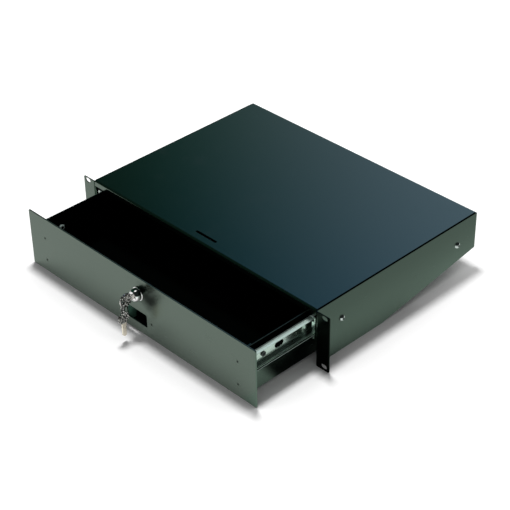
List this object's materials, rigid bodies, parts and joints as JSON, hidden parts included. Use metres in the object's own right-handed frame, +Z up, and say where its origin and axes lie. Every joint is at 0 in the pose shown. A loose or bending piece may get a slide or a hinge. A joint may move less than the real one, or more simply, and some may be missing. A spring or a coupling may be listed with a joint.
{
  "type": "sliding rack drawer",
  "caption": "Lockable drawer on ball-bearing slides in a folded steel housing with slotted rack ears; cam lock with key, finger opening, shown part-way open.",
  "frame": {"origin": "centre of the four rack mounting slots, on the front face of the ears", "axes": "+X to the right seen from the front, +Y from the front to the back, +Z up"},
  "size_m": [0.4826, 0.4636, 0.0882],
  "materials": {
    "top_panel": "smooth semi-gloss black powder coat on sheet steel",
    "left_side_plate": "smooth semi-gloss black powder coat on sheet steel",
    "right_side_plate": "smooth semi-gloss black powder coat on sheet steel",
    "left_slide_outer": "bright zinc-plated steel",
    "right_slide_outer": "bright zinc-plated steel",
    "left_slide_spacers": "bright zinc-plated steel",
    "right_slide_spacers": "bright zinc-plated steel",
    "left_side_screws": "bright nickel or chrome plate",
    "right_side_screws": "bright nickel or chrome plate",
    "left_ball_cage": "bright zinc-plated steel",
    "left_balls": "bright nickel or chrome plate",
    "right_ball_cage": "bright zinc-plated steel",
    "right_balls": "bright nickel or chrome plate",
    "front_panel": "smooth semi-gloss black powder coat on sheet steel",
    "drawer_tray": "smooth semi-gloss black powder coat on sheet steel",
    "left_front_bracket": "smooth semi-gloss black powder coat on sheet steel",
    "right_front_bracket": "smooth semi-gloss black powder coat on sheet steel",
    "drawer_back": "smooth semi-gloss black powder coat on sheet steel",
    "left_slide_inner": "bright zinc-plated steel",
    "right_slide_inner": "bright zinc-plated steel",
    "left_tray_screws": "bright zinc-plated steel",
    "right_tray_screws": "bright zinc-plated steel",
    "left_tray_nuts": "bright zinc-plated steel",
    "right_tray_nuts": "bright zinc-plated steel",
    "front_panel_screws": "smooth semi-gloss black powder coat on sheet steel",
    "front_panel_nuts": "bright zinc-plated steel",
    "finger_guard": "smooth semi-gloss black powder coat on sheet steel",
    "guard_screws": "smooth semi-gloss black powder coat on sheet steel",
    "guard_nuts": "bright zinc-plated steel",
    "lock_housing": "bright nickel or chrome plate",
    "lock_nut": "bright nickel or chrome plate",
    "lock_plug": "bright nickel or chrome plate",
    "lock_cam": "bright nickel or chrome plate",
    "cam_bolt": "bright nickel or chrome plate",
    "lock_key": "bright nickel or chrome plate",
    "key_ring": "bright nickel or chrome plate",
    "spare_key": "bright nickel or chrome plate"
  },
  "bodies": {
    "chassis": {"top_panel": "top_panel", "left_side_plate": "left_side_plate", "right_side_plate": "right_side_plate", "left_slide_outer": "left_slide_outer", "right_slide_outer": "right_slide_outer", "left_slide_spacers": "left_slide_spacers", "right_slide_spacers": "right_slide_spacers", "left_side_screws": "left_side_screws", "right_side_screws": "right_side_screws"},
    "left_cage": {"left_ball_cage": "left_ball_cage", "left_balls": "left_balls"},
    "right_cage": {"right_ball_cage": "right_ball_cage", "right_balls": "right_balls"},
    "drawer": {"front_panel": "front_panel", "drawer_tray": "drawer_tray", "left_front_bracket": "left_front_bracket", "right_front_bracket": "right_front_bracket", "drawer_back": "drawer_back", "left_slide_inner": "left_slide_inner", "right_slide_inner": "right_slide_inner", "left_tray_screws": "left_tray_screws", "right_tray_screws": "right_tray_screws", "left_tray_nuts": "left_tray_nuts", "right_tray_nuts": "right_tray_nuts", "front_panel_screws": "front_panel_screws", "front_panel_nuts": "front_panel_nuts", "finger_guard": "finger_guard", "guard_screws": "guard_screws", "guard_nuts": "guard_nuts", "lock_housing": "lock_housing", "lock_nut": "lock_nut"},
    "lock_plug": {"lock_plug": "lock_plug", "lock_cam": "lock_cam", "cam_bolt": "cam_bolt"},
    "lock_key": {"lock_key": "lock_key"},
    "key_ring": {"key_ring": "key_ring"},
    "spare_key": {"spare_key": "spare_key"}
  },
  "joints": [
    {"name": "drawer_slide", "type": "slide", "parent": "chassis", "child": "drawer", "axis": [0, -1, 0], "range_m": [-0.1094, 0.0904]},
    {"name": "left_cage_slide", "type": "slide", "parent": "chassis", "child": "left_cage", "axis": [0, -1, 0], "range_m": [-0.0548, 0.0453]},
    {"name": "right_cage_slide", "type": "slide", "parent": "chassis", "child": "right_cage", "axis": [0, -1, 0], "range_m": [-0.0548, 0.0453]},
    {"name": "lock_turn", "type": "hinge", "parent": "drawer", "child": "lock_plug", "pos_m": [0.006, -0.1096, 0.01895], "axis": [0, 1, 0], "range_deg": [0, 90]},
    {"name": "key_pull", "type": "slide", "parent": "lock_plug", "child": "lock_key", "axis": [0, -1, 0], "range_m": [0, 0.021]},
    {"name": "ring_swing", "type": "hinge", "parent": "lock_key", "child": "key_ring", "pos_m": [0.006, -0.1386, 0.01765], "axis": [1, 0, 0], "range_deg": [-60, 20]},
    {"name": "spare_swing", "type": "hinge", "parent": "key_ring", "child": "spare_key", "pos_m": [0.006, -0.1386, -0.00035], "axis": [1, 0, 0], "range_deg": [-60, 20]}
  ],
  "couplings": [
    {"joint": "left_cage_slide", "follows": "drawer_slide", "ratio": 0.5},
    {"joint": "right_cage_slide", "follows": "drawer_slide", "ratio": 0.5}
  ]
}
